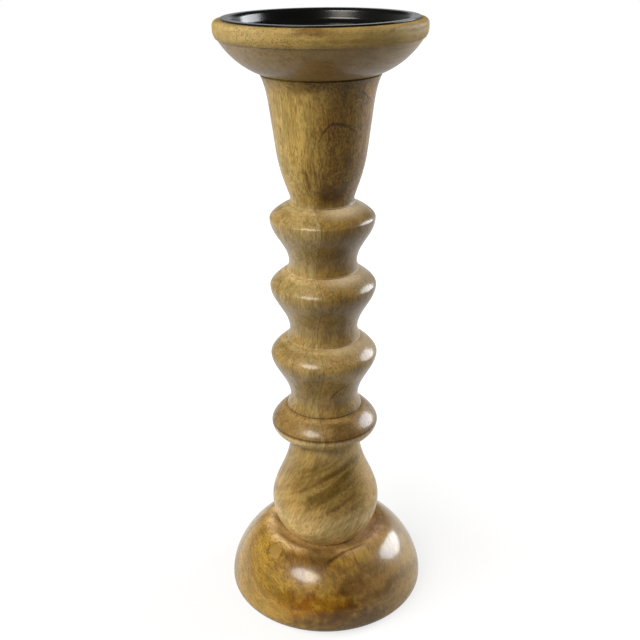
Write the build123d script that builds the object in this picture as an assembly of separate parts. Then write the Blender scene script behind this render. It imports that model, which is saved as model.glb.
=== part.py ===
from build123d import *

import os
from math import cos, radians, sin, sqrt, tan

# A turned wooden stand for one pillar candle. A domed foot carries a bulb, the bulb carries a column
# of beads under a flared vase, and the dish on top of the vase holds a loose metal drip pan.
# Lengths are in millimetres and angles in degrees. The axis is Z and the felt pads rest on Z = 0.

# Felt pads glued under the foot
pad_count = 4
pad_diameter = 18.0
pad_thickness = 1.5
pad_circle_diameter = 92.0
pad_edge_radius = 0.4

# Foot, a thick turned disc with a dome, a soft crest and a cove that runs down to the bulb
foot_diameter = 130.8
foot_height = 44.5
foot_edge_radius = 6.1
foot_crest_diameter = 76.0
foot_cove_depth = 3.0
foot_dome_shares = (0.45, 0.35)
foot_cove_shares = (0.3, 0.5)

# Bulb, round below its widest line and drawn in to a neck above it
bulb_diameter = 71.6
bulb_height = 73.5
bulb_belly_height = 25.0
bulb_neck_diameter = 45.6
bulb_shoulder_shares = (0.32, 0.46)
bulb_spigot_diameter = 26.0
bulb_spigot_length = 10.0

# Column, beads that grow from the top one down, with a fine groove above each
bead_count = 4
bead_diameter = 64.2
bead_diameter_step = 1.66
bead_pitch = 43.0
bead_pitch_step = 3.0
bead_crown_rise = 9.4
bead_crown_rise_step = 0.8
bead_crown_slope = 18.0
bead_crown_shares = (0.3, 0.29)
bead_underside_shares = (0.42, 0.36)
bead_underside_step_share = 0.05
neck_diameter = 41.8
neck_diameter_step = 0.9
neck_rise = 4.5
neck_rise_step = 1.0
neck_flare = 1.2
neck_flare_step = 0.6
neck_flare_share = 0.8
groove_width = 0.7
groove_depth = 0.45

# Lowest bead, whose short underside meets the bulb's neck
lowest_bead_rise = 11.0
lowest_bead_base_diameter = 46.8
lowest_bead_slope = 18.0
lowest_bead_shares = (0.45, 0.5)

# Vase on top of the beads, with a small flared neck below and a flared, chamfered lip above
vase_height = 75.6
vase_neck_diameter = 38.4
vase_neck_rise = 2.2
vase_neck_flare = 0.5
vase_belly_diameter = 53.9
vase_belly_height = 31.1
vase_throat_diameter = 61.0
vase_throat_height = 58.1
vase_lip_diameter = 69.6
vase_lip_chamfer = 1.0
vase_hip_shares = (0.11, 0.55)
vase_lip_share = 0.64

# Glue line between the two boards of the column, a plane beside the axis
glue_line_offset = 9.9
glue_line_turn = 196.7

# Spigots turned under the column and under the dish, and the room left for glue round every spigot
spigot_diameter = 19.0
spigot_length = 12.0
dish_spigot_diameter = 16.0
dish_spigot_length = 12.0
socket_clearance = 0.15
socket_end_clearance = 0.4

# Drip pan of pressed sheet, hung by its flange on the dish's rim
pan_floor_diameter = 95.6
pan_wall_lean = 2.2
pan_flange_width = 5.8
pan_depth = 7.5
pan_sheet = 1.0
pan_lip_radius = 1.5
pan_corner_radius = 3.0
pan_edge_radius = 0.35
pan_side_clearance = 0.6
pan_floor_clearance = 0.5

# Dish, a bowl-shaped underside set back a little below a rounded rim band round the pan's flange
dish_height = 29.3
dish_base_diameter = 70.6
dish_bulge = 2.5
dish_band_height = 9.8
dish_band_belly_height = 4.6
dish_rim_margin = 4.5
dish_rim_radius = 2.8
dish_crease_inset = 1.5
dish_crease_step = 0.6

# Tie rod with its nut, washer and insert
rod_diameter = 8.0
rod_clearance = 0.5
rod_tail = 2.0
rod_hole_spare = 4.0
thread_clearance = 0.05
washer_diameter = 24.0
washer_thickness = 2.0
washer_clearance = 0.2
nut_width = 13.0
nut_height = 6.5
nut_chamfer_angle = 30.0
counterbore_diameter = 32.0
counterbore_depth = 13.0
insert_diameter = 12.0
insert_length = 16.0

cut_overrun = 1.0

# Heights of the joints, from the pads up
foot_base_z = pad_thickness
foot_crest_z = foot_base_z + foot_height
bulb_base_z = foot_crest_z - foot_cove_depth
column_base_z = bulb_base_z + bulb_height
lowest_bead = bead_count - 1


def bead_radius(bead):
    """Radius of a bead, counted from 0 at the top."""
    return (bead_diameter + bead * bead_diameter_step) / 2


def bead_z(bead):
    """Height of a bead's widest line."""
    pitches = [bead_pitch + step * bead_pitch_step for step in range(bead, lowest_bead)]
    return column_base_z + lowest_bead_rise + sum(pitches)


def neck_radius(bead):
    """Radius of the neck under a bead."""
    return (neck_diameter + bead * neck_diameter_step) / 2


def groove_z(bead):
    """Height of the groove above a bead."""
    return bead_z(bead) + bead_crown_rise + bead * bead_crown_rise_step


def groove_radius(bead):
    """Radius at the lips of the groove above a bead, where the neck or the vase flares out to it."""
    if bead == 0:
        return vase_neck_diameter / 2 + vase_neck_flare
    return neck_radius(bead - 1) + neck_flare + (bead - 1) * neck_flare_step


vase_base_z = groove_z(0)
dish_base_z = vase_base_z + vase_height
rim_z = dish_base_z + dish_height
pan_floor_z = rim_z + pan_sheet - pan_depth
recess_floor_z = pan_floor_z - pan_sheet - pan_floor_clearance

# Radii of the pan and of the dish, which follow the pan's floor outwards
pan_mouth_radius = pan_floor_diameter / 2 + pan_wall_lean
pan_flange_radius = pan_mouth_radius + pan_flange_width
recess_radius = pan_mouth_radius + pan_sheet + pan_lip_radius + pan_side_clearance
dish_radius = pan_flange_radius + dish_rim_margin

# Places of the hidden hardware, which follow the joints
washer_top_z = foot_base_z + counterbore_depth
nut_top_z = washer_top_z - washer_thickness
rod_base_z = nut_top_z - nut_height - rod_tail
insert_base_z = column_base_z - spigot_length
insert_top_z = insert_base_z + insert_length
dish_spigot_base_z = dish_base_z - dish_spigot_length


def turned(*lines):
    """The solid that an outline of (radius, height) points sweeps about the axis."""
    edges = [edge for line in lines for edge in line.edges()]
    return revolve(Plane.XZ * make_face(edges), Axis.Z)


def bored(diameter, low, high):
    """A round bar on the axis between two heights, for a pin or a hole."""
    return Pos(0, 0, low) * Cylinder(diameter / 2, high - low, align=(Align.CENTER, Align.CENTER, Align.MIN))


def rod_hole(low, high):
    """The clearance hole for the tie rod."""
    return bored(rod_diameter + 2 * rod_clearance, low, high)


def felt_pads():
    """Four discs under the foot, each with its lower edge softened."""
    pad = Cylinder(pad_diameter / 2, pad_thickness, align=(Align.CENTER, Align.CENTER, Align.MIN))
    pad = fillet(pad.edges().sort_by(Axis.Z)[0], pad_edge_radius)
    places = PolarLocations(pad_circle_diameter / 2, pad_count, start_angle=180 / pad_count)
    return Part() + [place * pad for place in places]


def foot():
    """The domed base, with a socket for the bulb and a counterbore for the nut below."""
    radius = foot_diameter / 2
    crest = foot_crest_diameter / 2
    seat = bulb_base_radius()
    edge_z = foot_base_z + foot_edge_radius
    rise, run = foot_crest_z - edge_z, radius - crest
    body = turned(
        Polyline((0, bulb_base_z), (0, foot_base_z), (radius - foot_edge_radius, foot_base_z)),
        RadiusArc((radius - foot_edge_radius, foot_base_z), (radius, edge_z), -foot_edge_radius),
        Bezier(
            (radius, edge_z),
            (radius, edge_z + foot_dome_shares[0] * rise),
            (crest + foot_dome_shares[1] * run, foot_crest_z),
            (crest, foot_crest_z),
        ),
        Bezier(
            (crest, foot_crest_z),
            (crest - foot_cove_shares[0] * (crest - seat), foot_crest_z),
            (seat + foot_cove_shares[1] * (crest - seat), bulb_base_z),
            (seat, bulb_base_z),
        ),
        Polyline((seat, bulb_base_z), (0, bulb_base_z)),
    )
    socket_z = bulb_base_z - bulb_spigot_length - socket_end_clearance
    body -= bored(bulb_spigot_diameter + 2 * socket_clearance, socket_z, bulb_base_z + cut_overrun)
    body -= bored(counterbore_diameter, foot_base_z - cut_overrun, washer_top_z)
    return body - rod_hole(foot_base_z, bulb_base_z)


def bulb_base_radius():
    """Radius of the flat that the bulb stands on, where its round lower half is cut off."""
    return sqrt((bulb_diameter / 2) ** 2 - bulb_belly_height**2)


def bulb():
    """The ball with its neck, a spigot below, a socket above and the rod's hole right through."""
    radius, neck, base = bulb_diameter / 2, bulb_neck_diameter / 2, bulb_base_radius()
    belly_z = bulb_base_z + bulb_belly_height
    shoulder = column_base_z - belly_z
    spigot, spigot_z = bulb_spigot_diameter / 2, bulb_base_z - bulb_spigot_length
    body = turned(
        Polyline((0, spigot_z), (spigot, spigot_z), (spigot, bulb_base_z), (base, bulb_base_z)),
        RadiusArc((base, bulb_base_z), (radius, belly_z), -radius),
        Bezier(
            (radius, belly_z),
            (radius, belly_z + bulb_shoulder_shares[0] * shoulder),
            (neck, column_base_z - bulb_shoulder_shares[1] * shoulder),
            (neck, column_base_z),
        ),
        Polyline((neck, column_base_z), (0, column_base_z), (0, spigot_z)),
    )
    socket_z = insert_base_z - socket_end_clearance
    body -= bored(spigot_diameter + 2 * socket_clearance, socket_z, column_base_z + cut_overrun)
    return body - rod_hole(spigot_z - cut_overrun, column_base_z)


def lowest_underside():
    """The short underside of the lowest bead, from the bulb's neck out to its widest line."""
    base, radius = lowest_bead_base_diameter / 2, bead_radius(lowest_bead)
    reach = lowest_bead_shares[0] * (radius - base)
    slope = radians(lowest_bead_slope)
    return Bezier(
        (base, column_base_z),
        (base + reach * cos(slope), column_base_z + reach * sin(slope)),
        (radius, bead_z(lowest_bead) - lowest_bead_shares[1] * lowest_bead_rise),
        (radius, bead_z(lowest_bead)),
    )


def crown(bead):
    """The top of a bead, from its widest line in to the fine groove above it, and the groove."""
    radius, lip = bead_radius(bead), groove_radius(bead)
    low, high = groove_z(bead) - groove_width / 2, groove_z(bead) + groove_width / 2
    reach = bead_crown_shares[0] * (radius - lip)
    slope = radians(bead_crown_slope)
    curve = Bezier(
        (radius, bead_z(bead)),
        (radius, bead_z(bead) + bead_crown_shares[1] * (low - bead_z(bead))),
        (lip + reach * cos(slope), low - reach * sin(slope)),
        (lip, low),
    )
    return curve + Polyline((lip, low), (lip - groove_depth, groove_z(bead)), (lip, high))


def neck(bead):
    """The neck under a bead, from the groove below it up into the bead's hollow underside."""
    lip, waist, radius = groove_radius(bead + 1), neck_radius(bead), bead_radius(bead)
    lip_z = groove_z(bead + 1) + groove_width / 2
    waist_z = groove_z(bead + 1) + neck_rise + bead * neck_rise_step
    rise = bead_z(bead) - waist_z
    shoulder_share = bead_underside_shares[1] - bead * bead_underside_step_share
    flare = Bezier((lip, lip_z), (waist, lip_z + neck_flare_share * (waist_z - lip_z)), (waist, waist_z))
    underside = Bezier(
        (waist, waist_z),
        (waist, waist_z + bead_underside_shares[0] * rise),
        (radius, bead_z(bead) - shoulder_share * rise),
        (radius, bead_z(bead)),
    )
    return flare + underside


def vase():
    """The vase's side, from the groove above the top bead to the lip under the dish."""
    groove_lip, waist = groove_radius(0), vase_neck_diameter / 2
    belly, throat, lip = vase_belly_diameter / 2, vase_throat_diameter / 2, vase_lip_diameter / 2
    groove_lip_z = vase_base_z + groove_width / 2
    waist_z = vase_base_z + vase_neck_rise
    belly_z, throat_z = vase_base_z + vase_belly_height, vase_base_z + vase_throat_height
    taper = (throat - belly) / (throat_z - belly_z)
    hip_rise = belly_z - waist_z
    hip_reach = vase_hip_shares[1] * hip_rise
    lip_z = dish_base_z - vase_lip_chamfer
    lip_reach = vase_lip_share * (lip_z - throat_z)
    bend_z = groove_lip_z + neck_flare_share * (waist_z - groove_lip_z)
    flare = Bezier((groove_lip, groove_lip_z), (waist, bend_z), (waist, waist_z))
    hip = Bezier(
        (waist, waist_z),
        (waist, waist_z + vase_hip_shares[0] * hip_rise),
        (belly - taper * hip_reach, belly_z - hip_reach),
        (belly, belly_z),
    )
    side = Line((belly, belly_z), (throat, throat_z))
    rim = Bezier(
        (throat, throat_z),
        (throat + taper * lip_reach, throat_z + lip_reach),
        (lip, lip_z),
    )
    chamfer_line = Line((lip, lip_z), (lip - vase_lip_chamfer, dish_base_z))
    return flare + hip + side + rim + chamfer_line


def column():
    """The whole column as it leaves the lathe, with its spigot, its socket and the holes in its ends."""
    spigot, low = spigot_diameter / 2, insert_base_z
    base, top = lowest_bead_base_diameter / 2, vase_lip_diameter / 2 - vase_lip_chamfer
    lines = [
        Polyline((0, dish_base_z), (0, low), (spigot, low), (spigot, column_base_z), (base, column_base_z)),
        lowest_underside(),
    ]
    for bead in reversed(range(lowest_bead)):
        lines += [crown(bead + 1), neck(bead)]
    lines += [crown(0), vase(), Line((top, dish_base_z), (0, dish_base_z))]
    body = turned(*lines)
    body -= bored(insert_diameter + 2 * thread_clearance, low - cut_overrun, insert_top_z)
    body -= rod_hole(low, insert_top_z + rod_hole_spare)
    socket_z = dish_spigot_base_z - socket_end_clearance
    return body - bored(dish_spigot_diameter + 2 * socket_clearance, socket_z, dish_base_z + cut_overrun)


def column_boards():
    """The column's two boards, which a straight glue line parts from end to end."""
    turn = radians(glue_line_turn)
    away = (cos(turn), sin(turn), 0)
    glue_line = Plane(tuple(glue_line_offset * share for share in away), z_dir=away)
    whole = column()
    return split(whole, glue_line, keep=Keep.TOP), split(whole, glue_line, keep=Keep.BOTTOM)


def dish():
    """The dish, with its recess for the pan above and its spigot for the column below."""
    base, spigot, crease = dish_base_diameter / 2, dish_spigot_diameter / 2, dish_radius - dish_crease_inset
    crease_z = rim_z - dish_band_height
    belly_z = crease_z + dish_band_belly_height
    edge, edge_z = dish_radius - dish_rim_radius, rim_z - dish_rim_radius
    set_back = crease - dish_crease_step
    body = turned(
        Polyline((0, rim_z), (0, dish_spigot_base_z), (spigot, dish_spigot_base_z), (spigot, dish_base_z)),
        Line((spigot, dish_base_z), (base, dish_base_z)),
        SagittaArc((base, dish_base_z), (set_back, crease_z), -dish_bulge),
        Line((set_back, crease_z), (crease, crease_z)),
        TangentArc((dish_radius, belly_z), (crease, crease_z), tangent=(0, -1)),
        Line((dish_radius, belly_z), (dish_radius, edge_z)),
        RadiusArc((dish_radius, edge_z), (edge, rim_z), -dish_rim_radius),
        Line((edge, rim_z), (0, rim_z)),
    )
    return body - bored(2 * recess_radius, recess_floor_z, rim_z + cut_overrun)


def drip_pan():
    """The pressed pan: floor, rounded corner, sloping wall, rounded lip and flat flange."""
    flange_z = rim_z + pan_sheet
    inside = FilletPolyline(
        (0, pan_floor_z),
        (pan_floor_diameter / 2, pan_floor_z),
        (pan_mouth_radius, flange_z),
        (pan_flange_radius, flange_z),
        radius=[pan_corner_radius, pan_lip_radius + pan_sheet],
    )
    section = make_face(offset(inside, pan_sheet, side=Side.RIGHT).edges())
    edge = section.vertices().sort_by(Axis.X)[-2:]
    return revolve(Plane.XZ * fillet(edge, pan_edge_radius), Axis.Z)


def tie_rod():
    """The threaded rod, as a plain bar, from below its nut to the top of its insert."""
    return bored(rod_diameter, rod_base_z, insert_top_z)


def rod_washer():
    """The washer against the top of the foot's counterbore."""
    disc = bored(washer_diameter, nut_top_z, washer_top_z)
    return disc - bored(rod_diameter + 2 * washer_clearance, nut_top_z, washer_top_z)


def rod_nut():
    """The hexagon nut under the washer, with its corners turned off at both faces."""
    low, flat = nut_top_z - nut_height, nut_width / 2
    corner = flat / cos(radians(180 / 6))
    drop = (corner - flat) * tan(radians(nut_chamfer_angle))
    blank = turned(
        Polyline(
            (0, low),
            (flat, low),
            (corner, low + drop),
            (corner, nut_top_z - drop),
            (flat, nut_top_z),
            (0, nut_top_z),
            (0, low),
        )
    )
    hexagon = Pos(0, 0, low) * extrude(RegularPolygon(flat, 6, major_radius=False), nut_height)
    return (hexagon & blank) - bored(rod_diameter + 2 * thread_clearance, low, nut_top_z)


def rod_insert():
    """The threaded insert in the column's lower spigot."""
    sleeve = bored(insert_diameter, insert_base_z, insert_top_z)
    return sleeve - bored(rod_diameter + 2 * thread_clearance, insert_base_z, insert_top_z)


left_board, right_board = column_boards()
nodes = {
    "felt_pads": felt_pads(),
    "foot": foot(),
    "rod_washer": rod_washer(),
    "rod_nut": rod_nut(),
    "tie_rod": tie_rod(),
    "rod_insert": rod_insert(),
    "bulb": bulb(),
    "column_left_board": left_board,
    "column_right_board": right_board,
    "dish": dish(),
    "drip_pan": drip_pan(),
}

os.makedirs("parts", exist_ok=True)
for name, solid in nodes.items():
    export_step(solid, f"parts/{name}.step")
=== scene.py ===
import math

import bpy
from mathutils import Matrix, Vector


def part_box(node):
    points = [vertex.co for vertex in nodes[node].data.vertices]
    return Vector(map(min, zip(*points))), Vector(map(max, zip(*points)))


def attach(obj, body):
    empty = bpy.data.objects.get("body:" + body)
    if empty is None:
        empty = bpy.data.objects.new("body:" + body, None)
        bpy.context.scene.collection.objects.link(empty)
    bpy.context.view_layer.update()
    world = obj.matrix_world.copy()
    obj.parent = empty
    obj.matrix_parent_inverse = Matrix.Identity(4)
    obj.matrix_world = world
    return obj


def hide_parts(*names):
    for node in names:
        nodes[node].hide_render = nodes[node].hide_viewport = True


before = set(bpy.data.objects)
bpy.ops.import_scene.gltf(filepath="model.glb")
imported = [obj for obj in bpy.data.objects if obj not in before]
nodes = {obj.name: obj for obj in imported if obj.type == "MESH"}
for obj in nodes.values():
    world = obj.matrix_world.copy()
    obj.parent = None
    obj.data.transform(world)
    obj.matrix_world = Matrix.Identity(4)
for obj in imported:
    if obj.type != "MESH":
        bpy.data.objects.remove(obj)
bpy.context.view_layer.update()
bpy.ops.object.select_all(action="DESELECT")

# Felt pads: four discs punched from pressed black felt and glued in a ring under the foot.
# They keep the stand off the table top, so only their furry edges show, in a thin dark gap.
pad_radius, pad_top, pad_ring_radius, pad_count, pad_sides = 0.009, 0.0015, 0.046, 4, 64
pad_edge, pad_edge_steps, pad_insets = 0.0004, 3, (0.0012, 0.0022, 0.0026)
pad_nap, pad_nap_size, pad_smooth_angle = 0.00006, 0.0012, math.radians(50)
felt_fibre_size, felt_tuft_size = 0.0004, 0.003
felt_black, felt_grey = (0.012, 0.011, 0.011, 1), (0.055, 0.05, 0.047, 1)


def put(tree, kind, inputs=None, **settings):
    """Adds a shader node. Each input is given a value, or the socket that feeds it."""
    made = tree.nodes.new("ShaderNode" + kind)
    for name, value in settings.items():
        setattr(made, name, value)
    for name, value in (inputs or {}).items():
        if isinstance(value, bpy.types.NodeSocket):
            tree.links.new(value, made.inputs[name])
        else:
            made.inputs[name].default_value = value
    return made


def calc(tree, operation, *values):
    """The result of a Math node."""
    return put(tree, "Math", dict(enumerate(values)), operation=operation).outputs[0]


def scale_add(tree, value, factor, base):
    """A value times a factor, added to a base."""
    return calc(tree, "MULTIPLY_ADD", value, factor, base)


def vary(tree, operation, *values):
    """The vector result of a Vector Math node."""
    return put(tree, "VectorMath", dict(enumerate(values)), operation=operation).outputs[0]


def blend(tree, factor, first, second, mode="MIX"):
    """Two colours mixed by a factor."""
    made = put(tree, "Mix", {0: factor, 6: first, 7: second}, data_type="RGBA", blend_type=mode)
    return made.outputs[2]


def cloudy(tree, vector, size, detail=2):
    """Soft noise about 0. size is the length of its patches in metres, one for all axes or one for each."""
    spans = size if isinstance(size, tuple) else (size, size, size)
    stretched = vary(tree, "MULTIPLY", vector, tuple(1 / span for span in spans))
    noise = put(tree, "TexNoise", {"Vector": stretched, "Scale": 1, "Detail": detail})
    return calc(tree, "SUBTRACT", noise.outputs[0], 0.5)


def new_finish(name):
    """An empty material: itself, its node tree, its shader and its Object coordinates."""
    material = bpy.data.materials.new(name)
    material.use_nodes = True
    tree = material.node_tree
    tree.nodes.clear()
    shader = put(tree, "BsdfPrincipled")
    put(tree, "OutputMaterial", {"Surface": shader.outputs[0]})
    return material, tree, shader, put(tree, "TexCoord").outputs["Object"]


def feed(tree, shader, **sockets):
    """Links sockets to the shader's inputs, whose names have spaces where these have underscores."""
    for name, socket in sockets.items():
        tree.links.new(socket, shader.inputs[name.replace("_", " ").title()])


def rough_up(tree, height, strength, depth):
    """The normal of a surface whose bumps follow height, depth metres deep."""
    return put(tree, "Bump", {"Height": height, "Strength": strength, "Distance": depth}).outputs[0]


def pick_ends(disc):
    """Goes to edit mode with the flat ends of an upright disc selected."""
    bpy.ops.object.mode_set(mode="EDIT")
    bpy.ops.mesh.select_all(action="DESELECT")
    bpy.ops.object.mode_set(mode="OBJECT")
    for face in disc.data.polygons:
        face.select = abs(face.normal.z) > 0.99
    bpy.ops.object.mode_set(mode="EDIT")


def join(pieces):
    """Joins mesh objects into the first of them."""
    bpy.ops.object.select_all(action="DESELECT")
    for piece in pieces:
        piece.select_set(True)
    bpy.context.view_layer.objects.active = pieces[0]
    bpy.ops.object.join()
    return pieces[0]


felt, tree, shader, place = new_finish("pressed_black_felt")
fibre = cloudy(tree, place, felt_fibre_size, detail=4)
tuft = cloudy(tree, place, felt_tuft_size, detail=3)
shade = calc(tree, "ADD", scale_add(tree, fibre, 1.6, 0.5), tuft)
feed(
    tree,
    shader,
    base_color=blend(tree, shade, felt_black, felt_grey),
    roughness=scale_add(tree, fibre, 0.2, 0.9),
    normal=rough_up(tree, fibre, strength=0.6, depth=felt_fibre_size),
)
shader.inputs["Sheen Weight"].default_value = 0.35
shader.inputs["Sheen Roughness"].default_value = 0.6

nap = bpy.data.textures.new("felt_nap", "CLOUDS")
nap.noise_scale = pad_nap_size
pads = []
for number in range(pad_count):
    angle = math.tau * (number + 0.5) / pad_count
    centre = (pad_ring_radius * math.cos(angle), pad_ring_radius * math.sin(angle), pad_top / 2)
    bpy.ops.mesh.primitive_cylinder_add(
        vertices=pad_sides, radius=pad_radius - pad_nap, depth=pad_top - 2 * pad_nap, location=centre
    )
    pad = bpy.context.object
    bpy.ops.object.transform_apply(location=True, rotation=True, scale=True)
    pick_ends(pad)
    bpy.ops.mesh.region_to_loop()
    bpy.ops.mesh.bevel(offset=pad_edge, segments=pad_edge_steps)
    pick_ends(pad)
    for step in pad_insets:
        bpy.ops.mesh.inset(thickness=step, use_individual=False)
    bpy.ops.object.mode_set(mode="OBJECT")
    fluff = pad.modifiers.new("nap", "DISPLACE")
    fluff.texture, fluff.texture_coords = nap, "LOCAL"
    fluff.strength, fluff.mid_level = 2 * pad_nap, 0.5
    bpy.ops.object.modifier_apply(modifier=fluff.name)
    bpy.ops.object.shade_smooth_by_angle(angle=pad_smooth_angle)
    pad.data.materials.append(felt)
    pads.append(pad)
felt_discs = join(pads)
felt_discs.name = "felt_discs"
bpy.context.scene.cursor.location = (0, 0, 0)
bpy.ops.object.origin_set(type="ORIGIN_CURSOR")
bpy.ops.object.select_all(action="DESELECT")
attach(felt_discs, "stand")
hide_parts("felt_pads")

# Foot: a thick disc of mango wood with its grain lying flat, faceplate turned and lacquered.
# The grain parts round a knot on the left shoulder, and the heartwood low in front is amber.
foot_tones = (0.47, 0.283, 0.044), (0.27, 0.149, 0.022), (0.15, 0.074, 0.011)
foot_grain, foot_heart_depth, foot_parting = (0.47, -0.82, -0.33), 0.09, 0.008
foot_sway, foot_wave, foot_fineness = 0.016, 0.006, (1.4, 1.4, 1.7)
knot, knot_out, knot_depth = (-0.0343, -0.0305, 0.0427), (-0.43, -0.38, 0.82), (0.03, 0.02)
knot_radius, knot_ring_width, knot_uneven = 0.006, 0.0016, 0.005
knot_lump_size, knot_speckle_size = 0.0025, 0.0007
knot_colour, knot_ring_tint = (0.33, 0.2, 0.045, 1), (0.5, 0.42, 0.28)
# the cove's tint is partly painted light against the bulb's shadow, and the ring on its edge is painted light
cove_radius, cove_width, cove_pale_and_lit_tint = 0.0375, 0.008, (1.12, 1.2, 3.0)
painted_lit_ring_width, painted_lit_ring_fade, painted_lit_ring_tint = 0.006, (-0.006, -0.02), (1.7, 1.9, 2.6)
seam_across, seam_offset, seam_sway = (0.539, -0.843, 0), -0.0385, 0.006
seam_width, seam_tint = 0.0022, (0.42, 0.35, 0.26)


def times(tree, first, second):
    """The product of two values. Of two masks, it is where both lie."""
    return calc(tree, "MULTIPLY", first, second)


def ramped(tree, value, low, high):
    """A value that climbs smoothly from 0 at low to 1 at high."""
    ends = {"Value": value, "From Min": low, "From Max": high}
    return put(tree, "MapRange", ends, interpolation_type="SMOOTHSTEP").outputs[0]


def turned_wood_group():
    """Wood in its own frame, with Z along the grain. Ring counts metres across the growth rings."""
    tree = bpy.data.node_groups.new("turned_wood", "ShaderNodeTree")
    for way, kind, names in (
        ("INPUT", "Vector", ("Vector",)),
        ("INPUT", "Color", ("Pale", "Brown", "Dark")),
        ("INPUT", "Float", ("Ring", "Ring Width", "Ring Depth", "Streak Depth", "Pore Depth")),
        ("OUTPUT", "Color", ("Color",)),
        ("OUTPUT", "Float", ("Roughness", "Height")),
    ):
        for name in names:
            tree.interface.new_socket(name, in_out=way, socket_type="NodeSocket" + kind)
    given = tree.nodes.new("NodeGroupInput").outputs
    vector = given["Vector"]

    # growth rings of uneven width, streaks along the grain and slow clouds
    count = calc(tree, "DIVIDE", given["Ring"], given["Ring Width"])
    rings = put(tree, "TexNoise", {"W": count, "Scale": 1, "Detail": 2.5}, noise_dimensions="1D")
    ring = times(tree, calc(tree, "SUBTRACT", rings.outputs[0], 0.5), given["Ring Depth"])
    broad = cloudy(tree, vector, (0.0035, 0.0035, 0.06), detail=3)
    fine = cloudy(tree, vector, (0.001, 0.001, 0.012))
    cloud = cloudy(tree, vector, (0.009, 0.009, 0.016), detail=3)
    streak = times(tree, scale_add(tree, fine, 1.3, broad), given["Streak Depth"])
    tone = calc(tree, "ADD", calc(tree, "ADD", ring, streak), scale_add(tree, cloud, 1.1, 0.5))

    # open pores: short dashes along the grain, and dots where the cut crosses it
    pore = None
    for width, run, rarity in ((0.0008, 0.0045, 0.0), (0.0013, 0.008, 0.2)):
        stretched = vary(tree, "MULTIPLY", vector, (1 / width, 1 / width, 1 / run))
        cells = put(tree, "TexVoronoi", {"Vector": stretched, "Scale": 1})
        chance = put(tree, "SeparateColor", {0: cells.outputs["Color"]}).outputs[0]
        dash = ramped(tree, cells.outputs["Distance"], 0.46, 0.14)
        dash = times(tree, dash, ramped(tree, chance, rarity, 0.8))
        pore = dash if pore is None else calc(tree, "MAXIMUM", pore, dash)

    colour = blend(tree, tone, given["Pale"], given["Brown"])
    warmth = scale_add(tree, cloud, 2, 0.5)
    drift = blend(tree, warmth, (1.05, 0.98, 0.9, 1), (0.94, 1.02, 0.96, 1))
    colour = blend(tree, 1, colour, drift, "MULTIPLY")
    colour = blend(tree, times(tree, pore, given["Pore Depth"]), colour, given["Dark"])
    rough = scale_add(tree, pore, 0.15, scale_add(tree, broad, 0.2, 0.36))
    height = scale_add(tree, pore, -1, times(tree, fine, 0.5))
    leaving = tree.nodes.new("NodeGroupOutput")
    for name, socket in {"Color": colour, "Roughness": rough, "Height": height}.items():
        tree.links.new(socket, leaving.inputs[name])
    return tree


turned_wood = turned_wood_group()


def grain_frame(tree, place, centre, along, out):
    """Coordinates about a centre, with Z along the grain and Y as near to out as that allows."""
    z = Vector(along).normalized()
    x = Vector(out).cross(z).normalized()
    axes = Matrix((x, z.cross(x), z)).transposed()
    settings = {"Vector": place, "Location": centre, "Rotation": axes.to_euler()}
    return put(tree, "Mapping", settings, vector_type="TEXTURE").outputs[0]


def split(tree, vector):
    """The three coordinates of a vector."""
    return put(tree, "SeparateXYZ", {0: vector}).outputs


def wavy(tree, vector, reach):
    """Grain coordinates whose lines sway from side to side by up to about a quarter of reach."""
    shift = times(tree, cloudy(tree, vector, (0.012, 0.012, 0.025)), reach)
    return vary(tree, "ADD", vector, put(tree, "CombineXYZ", {0: shift, 1: shift}).outputs[0])


def figure(tree, vector, ring, tones, ring_width, depths):
    """The turned wood group. tones are its pale, brown and dark, depths those of rings, streaks and pores."""
    given = {"Vector": vector, "Ring": ring, "Ring Width": ring_width}
    given.update(zip(("Pale", "Brown", "Dark"), ((*tone, 1) for tone in tones)))
    given.update(zip(("Ring Depth", "Streak Depth", "Pore Depth"), depths))
    return put(tree, "Group", given, node_tree=turned_wood).outputs


def length(tree, *values):
    """The length of a vector with these coordinates."""
    total = times(tree, values[0], values[0])
    for value in values[1:]:
        total = scale_add(tree, value, value, total)
    return calc(tree, "SQRT", total)


def measure(tree, operation, *vectors):
    """The single value that a Vector Math node gives, such as a length."""
    return put(tree, "VectorMath", dict(enumerate(vectors)), operation=operation).outputs["Value"]


def spot(tree, place, centre, reach, ragged=0.3, core=0.3):
    """A soft patch about a point, with a ragged edge. reach is its half size along each axis."""
    away = vary(tree, "DIVIDE", vary(tree, "SUBTRACT", place, centre), reach)
    torn = cloudy(tree, place, 0.006, detail=3)
    return ramped(tree, scale_add(tree, torn, 2 * ragged, measure(tree, "LENGTH", away)), 1, core)


def line(tree, value, half_width, middle=0):
    """A thin line where a value in metres passes middle."""
    return ramped(tree, calc(tree, "ABSOLUTE", calc(tree, "SUBTRACT", value, middle)), half_width, 0)


def stain(tree, colour, mask, tint):
    """A colour multiplied by a tint where the mask is 1."""
    return blend(tree, mask, colour, (*tint, 1), "MULTIPLY")


def lacquer(tree, shader, colour, wood, coat, dull=0):
    """A satin lacquer. coat is the share that lies on the wood as a film, dull adds to the roughness."""
    roughness = calc(tree, "ADD", wood["Roughness"], dull)
    normal = rough_up(tree, wood["Height"], strength=0.15, depth=0.0001)
    feed(tree, shader, base_color=colour, roughness=roughness, normal=normal)
    if isinstance(coat, bpy.types.NodeSocket):
        feed(tree, shader, coat_weight=coat)
    else:
        shader.inputs["Coat Weight"].default_value = coat
    shader.inputs["Coat Roughness"].default_value = 0.16
    shader.inputs["Specular IOR Level"].default_value = 0.35


def dress(node, material):
    """Gives a CAD node its finish."""
    nodes[node].data.materials.clear()
    nodes[node].data.materials.append(material)


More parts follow.
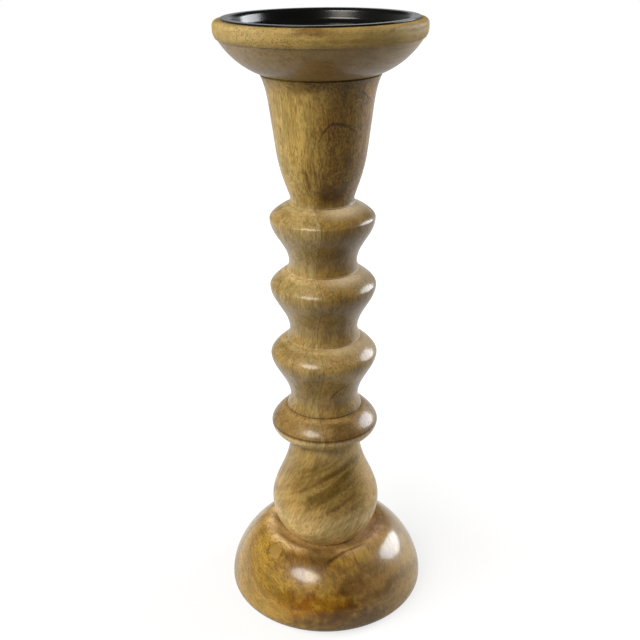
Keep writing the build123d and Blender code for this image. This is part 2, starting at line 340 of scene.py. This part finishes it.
foot_wood, tree, shader, place = new_finish("foot_wood")
x, y, z = split(tree, grain_frame(tree, place, knot, foot_grain, knot_out))
near = length(tree, x, z)
squared = times(tree, near, near)
parting = calc(tree, "DIVIDE", squared, calc(tree, "ADD", squared, foot_parting**2))
across = times(tree, x, parting)
flow = put(tree, "CombineXYZ", {0: across, 1: y, 2: z}).outputs[0]
heart = length(tree, across, calc(tree, "ADD", y, foot_heart_depth))
sway = cloudy(tree, flow, (0.03, 0.03, 0.08))
ring = scale_add(tree, sway, foot_sway, heart)
open_grain = spot(tree, place, (-0.035, -0.03, 0.035), (0.05, 0.06, 0.04), ragged=0.4, core=0.4)
pore_depth = scale_add(tree, open_grain, 0.6, 0.3)
fine_grain = vary(tree, "MULTIPLY", wavy(tree, flow, foot_wave), foot_fineness)
wood = figure(tree, fine_grain, ring, foot_tones, ring_width=0.0055, depths=(1.6, 1.8, pore_depth))
colour = wood["Color"]
for centre, reach, ragged, tint in (
    ((0.001, -0.06, 0.021), (0.034, 0.02, 0.014), 0.9, (0.7, 0.53, 0.03)),  # amber heartwood
    ((-0.02, -0.058, 0.02), (0.022, 0.02, 0.015), 0.6, (0.88, 0.74, 0.3)),  # its left end
    ((0.032, -0.047, 0.028), (0.042, 0.036, 0.03), 0.3, (0.67, 0.64, 1.2)),  # grey right side
    ((0.016, -0.056, 0.031), (0.018, 0.02, 0.011), 0.5, (0.62, 0.56, 0.52)),  # brown cloud in front
    ((0.032, -0.01, 0.046), (0.018, 0.02, 0.012), 0.4, (1.25, 1.3, 2.2)),  # pale right shoulder
    ((-0.011, -0.043, 0.041), (0.042, 0.017, 0.012), 0.5, (0.53, 0.43, 0.34)),  # dark by the knot
    # painted shade: the foot's lower edge, which faces down, is darkened
    ((0.018, -0.064, 0.008), (0.06, 0.02, 0.016), 0.4, (0.48, 0.44, 0.33)),  # dark lower edge
    ((-0.004, -0.04, 0.0455), (0.016, 0.012, 0.008), 0.4, (0.6, 0.6, 0.5)),  # dark by the seam
):
    colour = stain(tree, colour, spot(tree, place, centre, reach, ragged), tint)

# the cove under the bulb, of paler wood lifted further by painted light against the bulb's shadow, with a
# pale painted lit ring on its left edge, and a dark seam that runs out of it
plan_x, plan_y, _ = split(tree, place)
from_axis = length(tree, plan_x, plan_y)
# painted light: the cove is lightened where the bulb shades it
colour = stain(tree, colour, ramped(tree, from_axis, cove_radius + cove_width, cove_radius), cove_pale_and_lit_tint)
# painted light: a lit ring round the cove, on the left only
painted_lit_ring = line(tree, from_axis, painted_lit_ring_width, cove_radius)
painted_lit_ring = times(tree, painted_lit_ring, ramped(tree, plan_x, *painted_lit_ring_fade))
colour = stain(tree, colour, painted_lit_ring, painted_lit_ring_tint)
seam = calc(tree, "ADD", measure(tree, "DOT_PRODUCT", place, seam_across), seam_offset)
seam = scale_add(tree, sway, seam_sway, seam)
seam_zone = spot(tree, place, (0.0115, -0.038, 0.045), (0.028, 0.02, 0.012), ragged=0.1)
colour = stain(tree, colour, times(tree, line(tree, seam, seam_width), seam_zone), seam_tint)

# the knot: a pale disc in a dark, speckled ring
uneven = scale_add(tree, cloudy(tree, place, knot_lump_size, detail=3), knot_uneven, near)
speckle = ramped(tree, cloudy(tree, place, knot_speckle_size), -0.18, 0.12)
knot_ring = times(tree, line(tree, uneven, knot_ring_width, knot_radius), speckle)
knot_core = ramped(tree, uneven, knot_radius, 0.5 * knot_radius)
only_here = ramped(tree, calc(tree, "ABSOLUTE", y), *knot_depth)
colour = blend(tree, times(tree, knot_core, only_here), colour, knot_colour)
colour = stain(tree, colour, times(tree, knot_ring, only_here), knot_ring_tint)
lacquer(tree, shader, colour, wood, coat=0.9)
dress("foot", foot_wood)

# Washer and nut: bought hardware of zinc plated steel, up in the foot's counterbore.
# The nut draws the foot, the bulb and the column together on the rod, and only its end shows.


def metal(name, colour, dull, roughness):
    """A plated or turned metal with fine scratches and dull spots."""
    material, tree, shader, place = new_finish(name)
    scratch = cloudy(tree, place, (0.0003, 0.0003, 0.004))
    bloom = cloudy(tree, place, 0.004, detail=4)
    feed(
        tree,
        shader,
        base_color=blend(tree, scale_add(tree, bloom, 1.6, 0.4), (*colour, 1), (*dull, 1)),
        roughness=scale_add(tree, bloom, 0.3, scale_add(tree, scratch, 0.2, roughness)),
        normal=rough_up(tree, scratch, strength=0.15, depth=0.00005),
    )
    shader.inputs["Metallic"].default_value = 1.0
    return material


zinc = metal("zinc_plate", (0.62, 0.62, 0.6), dull=(0.36, 0.37, 0.38), roughness=0.34)
dress("rod_washer", zinc)
dress("rod_nut", zinc)

# Tie rod: a length of zinc plated M8 studding with chamfered ends, up the middle of the foot and the
# bulb. Its rolled thread is wound round a plain core, and it is screwed into the insert.
rod_low, rod_high = (corner[2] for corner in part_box("tie_rod"))
rod_length, rod_middle, rod_chamfer, rod_sides = rod_high - rod_low, (rod_low + rod_high) / 2, 0.0006, 48
thread_radius, thread_root_radius, thread_overlap = 0.00396, 0.00334, 0.0002
thread_pitch, thread_base, thread_crest, thread_steps = 0.00125, 0.00106, 0.00018, 24
thread_start, thread_smooth_angle = rod_low + rod_chamfer, math.radians(30)
bpy.ops.mesh.primitive_cylinder_add(
    vertices=rod_sides, radius=thread_root_radius, depth=rod_length, location=(0, 0, rod_middle)
)
threaded_rod = bpy.context.object
threaded_rod.name = "threaded_rod"
bpy.ops.object.transform_apply(location=True, rotation=True, scale=True)
ends = threaded_rod.modifiers.new("chamfered_ends", "BEVEL")
ends.width, ends.segments, ends.limit_method = rod_chamfer, 1, "ANGLE"
bpy.ops.object.modifier_apply(modifier=ends.name)
bpy.ops.mesh.primitive_plane_add(size=thread_pitch)
thread = bpy.context.object
thread_inside = thread_root_radius - thread_overlap
tooth = (
    (thread_inside, 0),
    (thread_radius, (thread_base - thread_crest) / 2),
    (thread_inside, thread_base),
    (thread_radius, (thread_base + thread_crest) / 2),
)
for vertex, (radius, rise) in zip(thread.data.vertices, tooth):
    vertex.co = (radius, 0, thread_start + rise)
bpy.ops.object.mode_set(mode="EDIT")
bpy.ops.mesh.select_all(action="SELECT")
bpy.ops.mesh.delete(type="ONLY_FACE")
bpy.ops.object.mode_set(mode="OBJECT")
winding = thread.modifiers.new("winding", "SCREW")
winding.axis, winding.screw_offset = "Z", thread_pitch
winding.steps, winding.render_steps = thread_steps, thread_steps
winding.iterations = int((rod_length - 2 * rod_chamfer - thread_base) / thread_pitch)
bpy.ops.object.modifier_apply(modifier=winding.name)
bpy.ops.object.mode_set(mode="EDIT")
bpy.ops.mesh.select_all(action="SELECT")
bpy.ops.mesh.fill_holes(sides=len(tooth))
bpy.ops.mesh.normals_make_consistent(inside=False)
bpy.ops.object.mode_set(mode="OBJECT")
join([threaded_rod, thread])
bpy.ops.object.shade_smooth_by_angle(angle=thread_smooth_angle)
bpy.ops.object.select_all(action="DESELECT")
threaded_rod.data.materials.append(zinc)
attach(threaded_rod, "stand")
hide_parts("tie_rod")

# Insert: a bought bush of turned brass, driven into the column's lower end, that takes the rod.
# It is hidden when the stand is together.
brass = metal("turned_brass", (0.74, 0.54, 0.23), dull=(0.5, 0.34, 0.13), roughness=0.3)
dress("rod_insert", brass)

# Bulb: a ball turned from another block, whose grain leans to the right, held by the rod.
# Smoky stripes cross it from the upper right to the lower left; its underside is paler wood lifted by painted
# light, and painted light lifts its neck.
bulb_tones = (0.47, 0.31, 0.1), (0.29, 0.175, 0.046), (0.17, 0.092, 0.022)
bulb_grain, bulb_rings_across = (0.44, -0.08, 0.9), (-0.41, 0.25, 0.9)
bulb_stripes_along, to_viewer = (-0.88, -0.12, -0.46), (0, -1, 0)
bulb_middle, bulb_stripes_middle, bulb_sway, bulb_wave = (0, 0, 0.07), (0, 0, 0.0745), 0.008, 0.006
bulb_wood, tree, shader, place = new_finish("bulb_wood")
along = grain_frame(tree, place, bulb_middle, bulb_grain, to_viewer)
sway = cloudy(tree, along, (0.02, 0.02, 0.05))
ring = scale_add(tree, sway, bulb_sway, measure(tree, "DOT_PRODUCT", place, bulb_rings_across))
along = wavy(tree, along, bulb_wave)
wood = figure(tree, along, ring, bulb_tones, ring_width=0.006, depths=(1.2, 1.6, 0.6))
striped = grain_frame(tree, place, bulb_stripes_middle, bulb_stripes_along, to_viewer)
stripe = ramped(tree, cloudy(tree, striped, (0.004, 0.02, 0.12), detail=1), -0.15, 0.15)
smoke = spot(tree, place, (0.004, -0.027, 0.091), (0.033, 0.026, 0.025), ragged=0.4, core=0.45)
smoke = times(tree, smoke, scale_add(tree, stripe, 0.45, 0.5))
x, _, z = split(tree, place)
# partly painted light: the underside, which faces down, is lightened over its paler wood
underside_pale_and_lit = ramped(tree, z, 0.078, 0.058)
right_side = spot(tree, place, (0.028, -0.012, 0.085), (0.016, 0.02, 0.03))
# painted light: the neck is lightened where the column above shades it
neck_painted_light = spot(tree, place, (0.007, -0.022, 0.116), (0.017, 0.018, 0.016))
left_shoulder = times(tree, ramped(tree, z, 0.08, 0.095), ramped(tree, x, -0.01, -0.022))
colour = wood["Color"]
for mask, tint in (
    (smoke, (0.35, 0.31, 0.15)),
    (underside_pale_and_lit, (1.8, 2.0, 2.8)),
    (right_side, (1.25, 1.2, 1.1)),
    (neck_painted_light, (1.55, 1.65, 2.2)),
    (left_shoulder, (0.78, 0.8, 0.86)),
):
    colour = stain(tree, colour, mask, tint)
lacquer(tree, shader, colour, wood, coat=0.3)
dress("bulb", bulb_wood)

# Left board of the column: the paler of two boards that were glued side by side before turning.
# Its grain runs up it, so the vase and the necks show streaks and the tops of the beads show dots.
column_tones = (0.53, 0.37, 0.112), (0.3, 0.187, 0.042), (0.17, 0.095, 0.022)
column_foot, column_ring_width, column_wave = (0, 0, 0), 0.0055, 0.007
glue_away, glue_offset, glue_width, glue_reach = (-0.958, -0.287, 0), 0.0099, 0.0005, 0.014
glue_line_tint = (0.7, 0.65, 0.55)
# the height of each crown's edge and of the groove above it, and how much painted light lifts the shade in
# that groove
crowns = (0.2675, 0.2749, 1.5), (0.2245, 0.2327, 1.5), (0.1785, 0.1875, 1.5), (0.1295, 0.1393, 1.3)
crown_rise, groove_half_width = 0.003, 0.0008
# the heights over which the tint of the beads, and that beside the glue, change between high and low beads
bead_tint_change, glue_tint_change = (0.235, 0.19), (0.195, 0.235)
# each collar carries a painted sheen in a ring below its groove
collar_drop, collar_half_width, collar_sheen_tint = 0.0016, 0.0018, (1.3, 1.35, 1.6)
low_groove, low_bead_edge, low_bead_tint = crowns[-1][1], 0.1284, (0.78, 0.71, 0.62)
vase_base, vase_top = crowns[0][1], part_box("dish")[0][2] + 0.012
shade_edge_x, shade_lean, shade_lean_heights = -0.001, 0.003, (0.318, 0.338)
# the last pair are the heights over which the painted shadow under the dish fades in
shade_ragged, shade_soft, dish_shadow_heights = 0.02, (-0.018, 0.008), (vase_top - 0.011, vase_top - 0.003)
dark_side_and_shadow_tint, grit_tint, curl_tint = (0.57, 0.47, 0.21), (0.6, 0.55, 0.46), (0.6, 0.5, 0.36)
# painted light on the lowest bead's lip, and painted shade in two lines on that bead
low_lip, lip_painted_light_tint, painted_shade_line_tint = (0.1278, 0.1262), (2.4, 2.75, 3.8), (0.4, 0.33, 0.24)
left_grain, left_sway, left_ring_slant, left_depths = (0.03, 0, 1), 0.01, 0.4, (1.2, 1.8, 0.75)
left_tints = (0.81, 0.84, 1.14), (0.73, 0.73, 0.9), (1.0, 1.0, 1.0), (0.9, 0.9, 0.88)


def bead_marks(tree, height, colour, crown_tint):
    """Tints each crown, lifts the shade in its groove with painted light, puts a painted sheen on its collar,
    and tints the lowest bead, with painted shade in two lines and painted light on its lip.
    """
    for edge, groove, pale in crowns:
        crown = times(tree, ramped(tree, height, edge, edge + crown_rise), ramped(tree, height, groove, edge))
        colour = stain(tree, colour, crown, crown_tint)
        # painted light: the groove is lightened against the shade that falls in it
        inside = line(tree, height, groove_half_width, groove)
        colour = stain(tree, colour, inside, (pale, 1.04 * pale, 1.35 * pale))
        # painted sheen: a pale ring on the collar below the groove
        painted_collar_sheen = line(tree, height, collar_half_width, groove - collar_drop)
        colour = stain(tree, colour, painted_collar_sheen, collar_sheen_tint)
    lowest = ramped(tree, height, low_groove + crown_rise, low_groove)
    colour = stain(tree, colour, lowest, low_bead_tint)
    # painted shade: dark lines in the groove above the lowest bead and where its underside begins
    for shaded_height, half_width in ((low_groove, 0.0007), (low_bead_edge, 0.0008)):
        colour = stain(tree, colour, line(tree, height, half_width, shaded_height), painted_shade_line_tint)
    # painted light: the lip under the lowest bead, which faces the bright foot and floor
    return stain(tree, colour, ramped(tree, height, *low_lip), lip_painted_light_tint)


def dark_side_and_dish_shadow(tree, place):
    """The dark figure on the right of the vase, whose edge leans over the glue line, joined with a painted
    shadow under the dish's foot that is stronger on the right.
    """
    x, _, z = split(tree, place)
    edge = scale_add(tree, ramped(tree, z, *shade_lean_heights), shade_lean, shade_edge_x)
    ragged = cloudy(tree, place, (0.006, 0.006, 0.03), detail=4)
    past = scale_add(tree, ragged, shade_ragged, calc(tree, "SUBTRACT", x, edge))
    side = ramped(tree, past, *shade_soft)
    # painted shadow under the dish's foot, stronger on the right
    painted_dish_shadow = ramped(tree, scale_add(tree, ragged, 0.4 * shade_ragged, z), *dish_shadow_heights)
    painted_dish_shadow = times(tree, painted_dish_shadow, scale_add(tree, ramped(tree, x, -0.02, 0.002), 0.8, 0.4))
    on_vase = ramped(tree, z, vase_base - 0.002, vase_base + 0.008)
    return times(tree, calc(tree, "MAXIMUM", side, painted_dish_shadow), on_vase)


def vase_marks(tree, place, vector, colour):
    """Gives the vase its dark, gritty right side, a painted shadow under the dish, and curls of grain low on
    its front.
    """
    shade = dark_side_and_dish_shadow(tree, place)
    grit = ramped(tree, cloudy(tree, place, (0.0011, 0.0011, 0.0015), detail=1), -0.12, 0.16)
    # the dark side of the vase, and the painted shadow under the dish
    colour = stain(tree, colour, shade, dark_side_and_shadow_tint)
    colour = stain(tree, colour, times(tree, shade, grit), grit_tint)
    curl = ramped(tree, cloudy(tree, vector, (0.0015, 0.0015, 0.018)), 0, 0.14)
    curls = spot(tree, place, (-0.006, -0.024, 0.295), (0.013, 0.02, 0.024), ragged=0.4)
    return stain(tree, colour, times(tree, curl, curls), curl_tint)


def glued(tree, place, colour, glue_tint):
    """Evens the tone beside the glue on the high beads, and darkens the wood in a hair line along it."""
    beside = measure(tree, "DOT_PRODUCT", place, glue_away)
    height = split(tree, place)["Z"]
    below = ramped(tree, height, vase_base + 0.01, vase_base)
    high = times(tree, below, ramped(tree, height, *glue_tint_change))
    colour = stain(tree, colour, times(tree, line(tree, beside, glue_reach, glue_offset), high), glue_tint)
    hair_line = times(tree, line(tree, beside, glue_width, glue_offset), below)
    return stain(tree, colour, hair_line, glue_line_tint)


def column_figure(tree, place, vector, ring, depths, tints):
    """The column's wood, its colour and its gloss. tints are of high beads, low beads, crowns and glue."""
    high_tint, low_tint, crown_tint, glue_tint = tints
    ring_depth, streak_depth, pore_depth = depths
    height = split(tree, place)["Z"]
    on_beads = ramped(tree, height, vase_base + 0.006, vase_base)
    pore_depth = scale_add(tree, on_beads, -0.4 * pore_depth, pore_depth)
    depths = (ring_depth, streak_depth, pore_depth)
    wood = figure(tree, vector, ring, column_tones, column_ring_width, depths)
    bead_tint = blend(tree, ramped(tree, height, *bead_tint_change), (*high_tint, 1), (*low_tint, 1))
    colour = blend(tree, on_beads, wood["Color"], bead_tint, "MULTIPLY")
    colour = bead_marks(tree, height, colour, crown_tint)
    colour = vase_marks(tree, place, vector, colour)
    return wood, glued(tree, place, colour, glue_tint), scale_add(tree, on_beads, 0.25, 0.25)


left_wood, tree, shader, place = new_finish("light_board_wood")
along = grain_frame(tree, place, column_foot, left_grain, to_viewer)
x, y, _ = split(tree, along)
sway = cloudy(tree, along, (0.02, 0.02, 0.12))
ring = scale_add(tree, y, left_ring_slant, scale_add(tree, sway, left_sway, x))
along = wavy(tree, along, column_wave)
wood, colour, gloss = column_figure(tree, place, along, ring, left_depths, left_tints)
third_crown = spot(tree, place, (-0.018, -0.02, 0.1845), (0.018, 0.02, 0.005))
colour = stain(tree, colour, third_crown, (0.76, 0.79, 0.79))
lacquer(tree, shader, colour, wood, coat=gloss)
dress("column_left_board", left_wood)

# Right board of the column: the wider and darker of the two, with the spigot at its lower end.
# An arch of grain and a short diagonal mark the vase, and the tops of the high beads are paler towards the
# right.
right_grain, right_depths, right_shortening = (0.05, -0.04, 1), (1.3, 1.8, 0.8), (1, 1, 1.8)
right_tints = (0.51, 0.45, 0.38), (0.71, 0.67, 0.76), (1.32, 1.38, 1.7), (1.14, 1.15, 1.2)
arch_x, arch_top, arch_steep, arch_gentle = 0.0065, 0.3262, 140.0, 40.0
arch_width, arch_sway, arch_ripple, arch_tint = 0.0018, 0.004, 0.002, (0.4, 0.3, 0.16)
stroke_x, stroke_z, stroke_radius = 0.0214, 0.1446, 0.0193
stroke_width, stroke_tint = 0.0011, (0.5, 0.42, 0.28)
pale_top_colour, pale_top_shares, pale_top_fade = (0.66, 0.52, 0.33, 1), (0.95, 0.8, 0.4), (-0.01, 0.018)
pale_top_low, pale_top_full, pale_top_high = -0.006, -0.0005, 0.0013
diagonal_across, diagonal_offset, diagonal_width = (0.786, 0, 0.619), 0.2303, 0.0009
diagonal_tint, diagonal_side_tint = (0.5, 0.42, 0.3), (1.5, 1.45, 1.35)
hatching_along, hatching_tint = (0.41, 0.745, -0.52), (1.45, 1.45, 1.5)

right_wood, tree, shader, place = new_finish("dark_board_wood")
along = grain_frame(tree, place, column_foot, right_grain, to_viewer)
along = vary(tree, "MULTIPLY", wavy(tree, along, column_wave), right_shortening)
x, y, z = split(tree, place)
side = calc(tree, "SUBTRACT", x, arch_x)
left_side, right_side = calc(tree, "MINIMUM", side, 0), calc(tree, "MAXIMUM", side, 0)
fall = times(tree, times(tree, left_side, left_side), arch_steep)
fall = scale_add(tree, times(tree, right_side, right_side), arch_gentle, fall)
sway = cloudy(tree, place, (0.018, 0.018, 0.03))
arch = calc(tree, "ADD", calc(tree, "SUBTRACT", z, arch_top), fall)
arch = scale_add(tree, sway, arch_sway, arch)
arch = scale_add(tree, cloudy(tree, place, 0.003), arch_ripple, arch)
ring = scale_add(tree, y, 0.3, times(tree, arch, 0.35))
wood, colour, gloss = column_figure(tree, place, along, ring, right_depths, right_tints)
arch_zone = spot(tree, place, (0.008, -0.026, 0.32), (0.019, 0.02, 0.016), ragged=0.05)
colour = stain(tree, colour, times(tree, line(tree, arch, arch_width), arch_zone), arch_tint)

# a short bent stroke on the third neck
stroke = length(tree, calc(tree, "SUBTRACT", x, stroke_x), calc(tree, "SUBTRACT", z, stroke_z))
stroke_zone = spot(tree, place, (0.0065, -0.0236, 0.1568), (0.01, 0.012, 0.01), ragged=0.2)
stroke = times(tree, line(tree, stroke, stroke_width, stroke_radius), stroke_zone)
colour = stain(tree, colour, stroke, stroke_tint)

# the tops of three beads, mottled paler towards the right
pale_tops = scale_add(tree, cloudy(tree, place, 0.0013), -1.3, 0.95)
pale_tops = times(tree, pale_tops, ramped(tree, x, *pale_top_fade))
for (_, groove, _), share in zip(crowns, pale_top_shares):
    top = times(tree, ramped(tree, z, groove + pale_top_low, groove + pale_top_full), share)
    top = times(tree, top, ramped(tree, z, groove + pale_top_high, groove))
    colour = blend(tree, times(tree, top, pale_tops), colour, pale_top_colour)

# the diagonal high on the vase, with hatching on its left and paler wood on its right
hatching = grain_frame(tree, place, column_foot, hatching_along, to_viewer)
hatching = ramped(tree, cloudy(tree, hatching, (0.0009, 0.0009, 0.006), detail=1), 0, 0.15)
hatching_zone = spot(tree, place, (0.021, -0.025, 0.3405), (0.009, 0.012, 0.008))
colour = stain(tree, colour, times(tree, hatching, hatching_zone), hatching_tint)
diagonal = calc(tree, "SUBTRACT", measure(tree, "DOT_PRODUCT", place, diagonal_across), diagonal_offset)
diagonal_zone = spot(tree, place, (0.0255, -0.019, 0.34), (0.01, 0.013, 0.009), ragged=0.2)
diagonal_side = times(tree, ramped(tree, diagonal, 0, 0.0012), diagonal_zone)
colour = stain(tree, colour, diagonal_side, diagonal_side_tint)
diagonal = times(tree, line(tree, diagonal, diagonal_width), diagonal_zone)
colour = stain(tree, colour, diagonal, diagonal_tint)
for centre, reach, tint in (
    ((-0.0034, -0.027, 0.3085), (0.0016, 0.004, 0.0016), (0.4, 0.34, 0.26)),  # pin knot on the vase
    ((0.0125, -0.024, 0.305), (0.006, 0.008, 0.003), (0.85, 0.78, 0.68)),  # smudge under the arch
    ((0.005, -0.019, 0.2835), (0.011, 0.012, 0.008), (0.6, 0.5, 0.36)),  # dark foot of the vase
    # painted sheen: the vase's right edge is paler and warmer where it catches the light
    ((0.03, -0.012, 0.315), (0.014, 0.02, 0.05), (1.36, 1.22, 1.15)),  # warm right edge of the vase
    # painted reflection: the underside of the third bead, on the right, is paler where it reflects the bright
    # backdrop
    ((0.01, -0.026, 0.166), (0.024, 0.02, 0.018), (1.45, 1.45, 1.4)),  # pale under the third bead
    ((0.0126, -0.0292, 0.1326), (0.014, 0.016, 0.006), (0.6, 0.57, 0.48)),  # dark front of the lowest bead
):
    colour = stain(tree, colour, spot(tree, place, centre, reach, ragged=0.4), tint)
lacquer(tree, shader, colour, wood, coat=gloss)
dress("column_right_board", right_wood)

# Dish: a wide bowl with its grain lying flat and pointing to the left of the viewer, so that its
# rim shows end grain there. A spigot under it is glued into the column.
dish_tones = (0.48, 0.335, 0.115), (0.29, 0.18, 0.046), (0.15, 0.082, 0.02)
dish_heart, dish_grain, dish_up = (0.01, 0, 0.22), (0.5, 0.866, 0.02), (0, 0, 1)
dish_crease_z, dish_crease_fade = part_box("dish")[1][2] - 0.0098, 0.0004
dish_wood, tree, shader, place = new_finish("dish_wood")
along = grain_frame(tree, place, dish_heart, dish_grain, dish_up)
x, y, _ = split(tree, along)
sway = cloudy(tree, along, (0.02, 0.02, 0.07))
ring = scale_add(tree, sway, 0.01, length(tree, x, y))
speckled = spot(tree, place, (-0.03, -0.052, 0.374), (0.035, 0.03, 0.014), ragged=0.5, core=0.5)
pore_depth = scale_add(tree, speckled, 0.65, 0.3)
wood = figure(tree, along, ring, dish_tones, ring_width=0.004, depths=(0.5, 0.8, pore_depth))
# below the crease the underside is darker and greyer: partly painted shade, as it faces down, and partly
# greyer wood
below = ramped(tree, split(tree, place)["Z"], dish_crease_z, dish_crease_z - dish_crease_fade)
colour = stain(tree, wood["Color"], below, (0.86, 0.82, 0.96))
for centre, reach, tint in (
    ((-0.045, -0.035, 0.375), (0.035, 0.04, 0.02), (1.03, 1.1, 1.4)),  # pale left of the rim
    ((0.004, -0.045, 0.358), (0.034, 0.03, 0.014), (0.86, 0.76, 0.5)),  # brown underside in front
    ((-0.004, -0.06, 0.3785), (0.016, 0.01, 0.003), (0.55, 0.45, 0.3)),  # dark upper edge
    ((0.0366, -0.048, 0.3776), (0.0026, 0.004, 0.0013), (0.7, 0.6, 0.48)),  # fleck on the right
    ((0.012, -0.06, 0.3735), (0.03, 0.012, 0.0014), (0.82, 0.76, 0.64)),  # long line round the rim
):
    colour = stain(tree, colour, spot(tree, place, centre, reach, ragged=0.5), tint)
lacquer(tree, shader, colour, wood, coat=times(tree, below, 0.5), dull=0.2)
dress("dish", dish_wood)

# Drip pan: pressed from sheet steel, with a flange that hangs in the dish's recess.
# It has a satin black enamel with a slight orange peel, and lies loose, so that it lifts out.
enamel_black, enamel_worn = (0.003, 0.003, 0.003, 1), (0.007, 0.007, 0.007, 1)
pan_enamel, tree, shader, place = new_finish("satin_black_enamel")
peel = cloudy(tree, place, 0.0012)
sheen = cloudy(tree, place, 0.025, detail=3)
feed(
    tree,
    shader,
    base_color=blend(tree, calc(tree, "ADD", sheen, 0.5), enamel_black, enamel_worn),
    roughness=scale_add(tree, sheen, 0.08, 0.21),
    normal=rough_up(tree, peel, strength=0.08, depth=0.0001),
)
dress("drip_pan", pan_enamel)

# Studio: a white floor under a white sky, with a large soft lamp on the left that leaves no highlight,
# a warm one high on the left in front and a wide cool one on the right, slightly behind the stand.
stand_middle = Vector((0, 0, 0.19))
floor_radius, floor_sides, floor_grey = 3.0, 128, (0.25, 0.25, 0.25, 1)
floor_shadow_reach, floor_gleam_start, floor_gleam = (0.08, 0.4), (-0.25, 0.15), 0.6
sky_dim, sky_gloss, sky_backdrop = 0.16, 0.03, 0.6


def lamp(name, azimuth, elevation, distance, size, power, colour, lean=0):
    """A soft lamp, size wide and high, turned to the stand. Azimuth 0 is the viewer's side, + is right."""
    a, e = math.radians(azimuth), math.radians(elevation)
    away = Vector((math.sin(a) * math.cos(e), -math.cos(a) * math.cos(e), math.sin(e)))
    data = bpy.data.lights.new(name, "AREA")
    data.shape, data.energy, data.color = "ELLIPSE", power, colour
    data.size, data.size_y = size
    made = bpy.data.objects.new(name, data)
    made.location = stand_middle + distance * away
    facing = away.to_track_quat("Z", "Y").to_matrix()
    made.rotation_euler = (facing @ Matrix.Rotation(math.radians(lean), 3, "Z")).to_euler()
    bpy.context.scene.collection.objects.link(made)
    return made


side_lamp = lamp(
    "side_lamp", azimuth=-75, elevation=32, distance=1.3, size=(0.9, 0.9), power=13, colour=(1.0, 0.98, 0.94)
)
side_lamp.visible_glossy = False
lamp(
    "upper_lamp", azimuth=-35, elevation=42, distance=2.4, size=(1.4, 0.8), power=34, colour=(1.0, 0.95, 0.86)
)
lamp(
    "right_lamp",
    azimuth=114,
    elevation=18,
    distance=2.4,
    size=(1.9, 1.0),
    power=46,
    colour=(0.92, 0.95, 1.0),
    lean=-35,
)

# the floor looks white to the camera, a little less so beside the foot, and shines behind the stand
bpy.ops.mesh.primitive_circle_add(vertices=floor_sides, radius=floor_radius, fill_type="TRIFAN")
floor = bpy.context.object
floor.name = "floor"
floor_finish, tree, shader, place = new_finish("white_floor")
path = put(tree, "LightPath").outputs
paper = scale_add(tree, ramped(tree, measure(tree, "LENGTH", place), *floor_shadow_reach), 0.25, 0.75)
glow = times(tree, path["Is Camera Ray"], paper)
behind = ramped(tree, split(tree, place)["Y"], *floor_gleam_start)
gleam = times(tree, path["Is Glossy Ray"], scale_add(tree, behind, 0.9, 0.1))
shader.inputs["Base Color"].default_value = floor_grey
shader.inputs["Roughness"].default_value = 0.9
shader.inputs["Emission Color"].default_value = (1, 1, 1, 1)
feed(tree, shader, emission_strength=scale_add(tree, gleam, floor_gleam, glow))
floor.data.materials.append(floor_finish)

# the sky is white to the camera, dim to the wood, and shows in the gloss as a low backdrop
world = bpy.data.worlds.new("white_sky")
bpy.context.scene.world = world
world.use_nodes = True
tree = world.node_tree
tree.nodes.clear()
path = put(tree, "LightPath").outputs
across, away, height = split(tree, put(tree, "TexCoord").outputs["Generated"])
backdrop = times(tree, ramped(tree, height, 0.4, 0.1), ramped(tree, away, -0.25, 0.3))
backdrop = times(tree, backdrop, scale_add(tree, ramped(tree, across, -0.6, 0.2), 0.5, 0.5))
gloss = times(tree, path["Is Glossy Ray"], scale_add(tree, backdrop, sky_backdrop, sky_gloss))
dim = times(tree, path["Is Diffuse Ray"], sky_dim)
strength = calc(tree, "MAXIMUM", calc(tree, "MAXIMUM", path["Is Camera Ray"], gloss), dim)
sky = put(tree, "Background", {"Color": (1, 1, 1, 1), "Strength": strength})
put(tree, "OutputWorld", {"Surface": sky.outputs[0]})

# the photograph's camera
camera_data = bpy.data.cameras.new("camera")
camera_data.sensor_width = 36
camera_data.lens = 52.03
camera = bpy.data.objects.new("camera", camera_data)
bpy.context.scene.collection.objects.link(camera)
bpy.context.scene.camera = camera
pitch_down, roll = math.radians(23.25), math.radians(-0.7)
look_at, distance = Vector((-0.0023, 0, 0.1972)), 0.5851
camera.location = look_at - distance * Vector((0, math.cos(pitch_down), -math.sin(pitch_down)))
tilt = Matrix.Rotation(math.pi / 2 - pitch_down, 4, "X") @ Matrix.Rotation(roll, 4, "Z")
camera.rotation_euler = tilt.to_euler()

bpy.context.scene.view_settings.view_transform = "Standard"
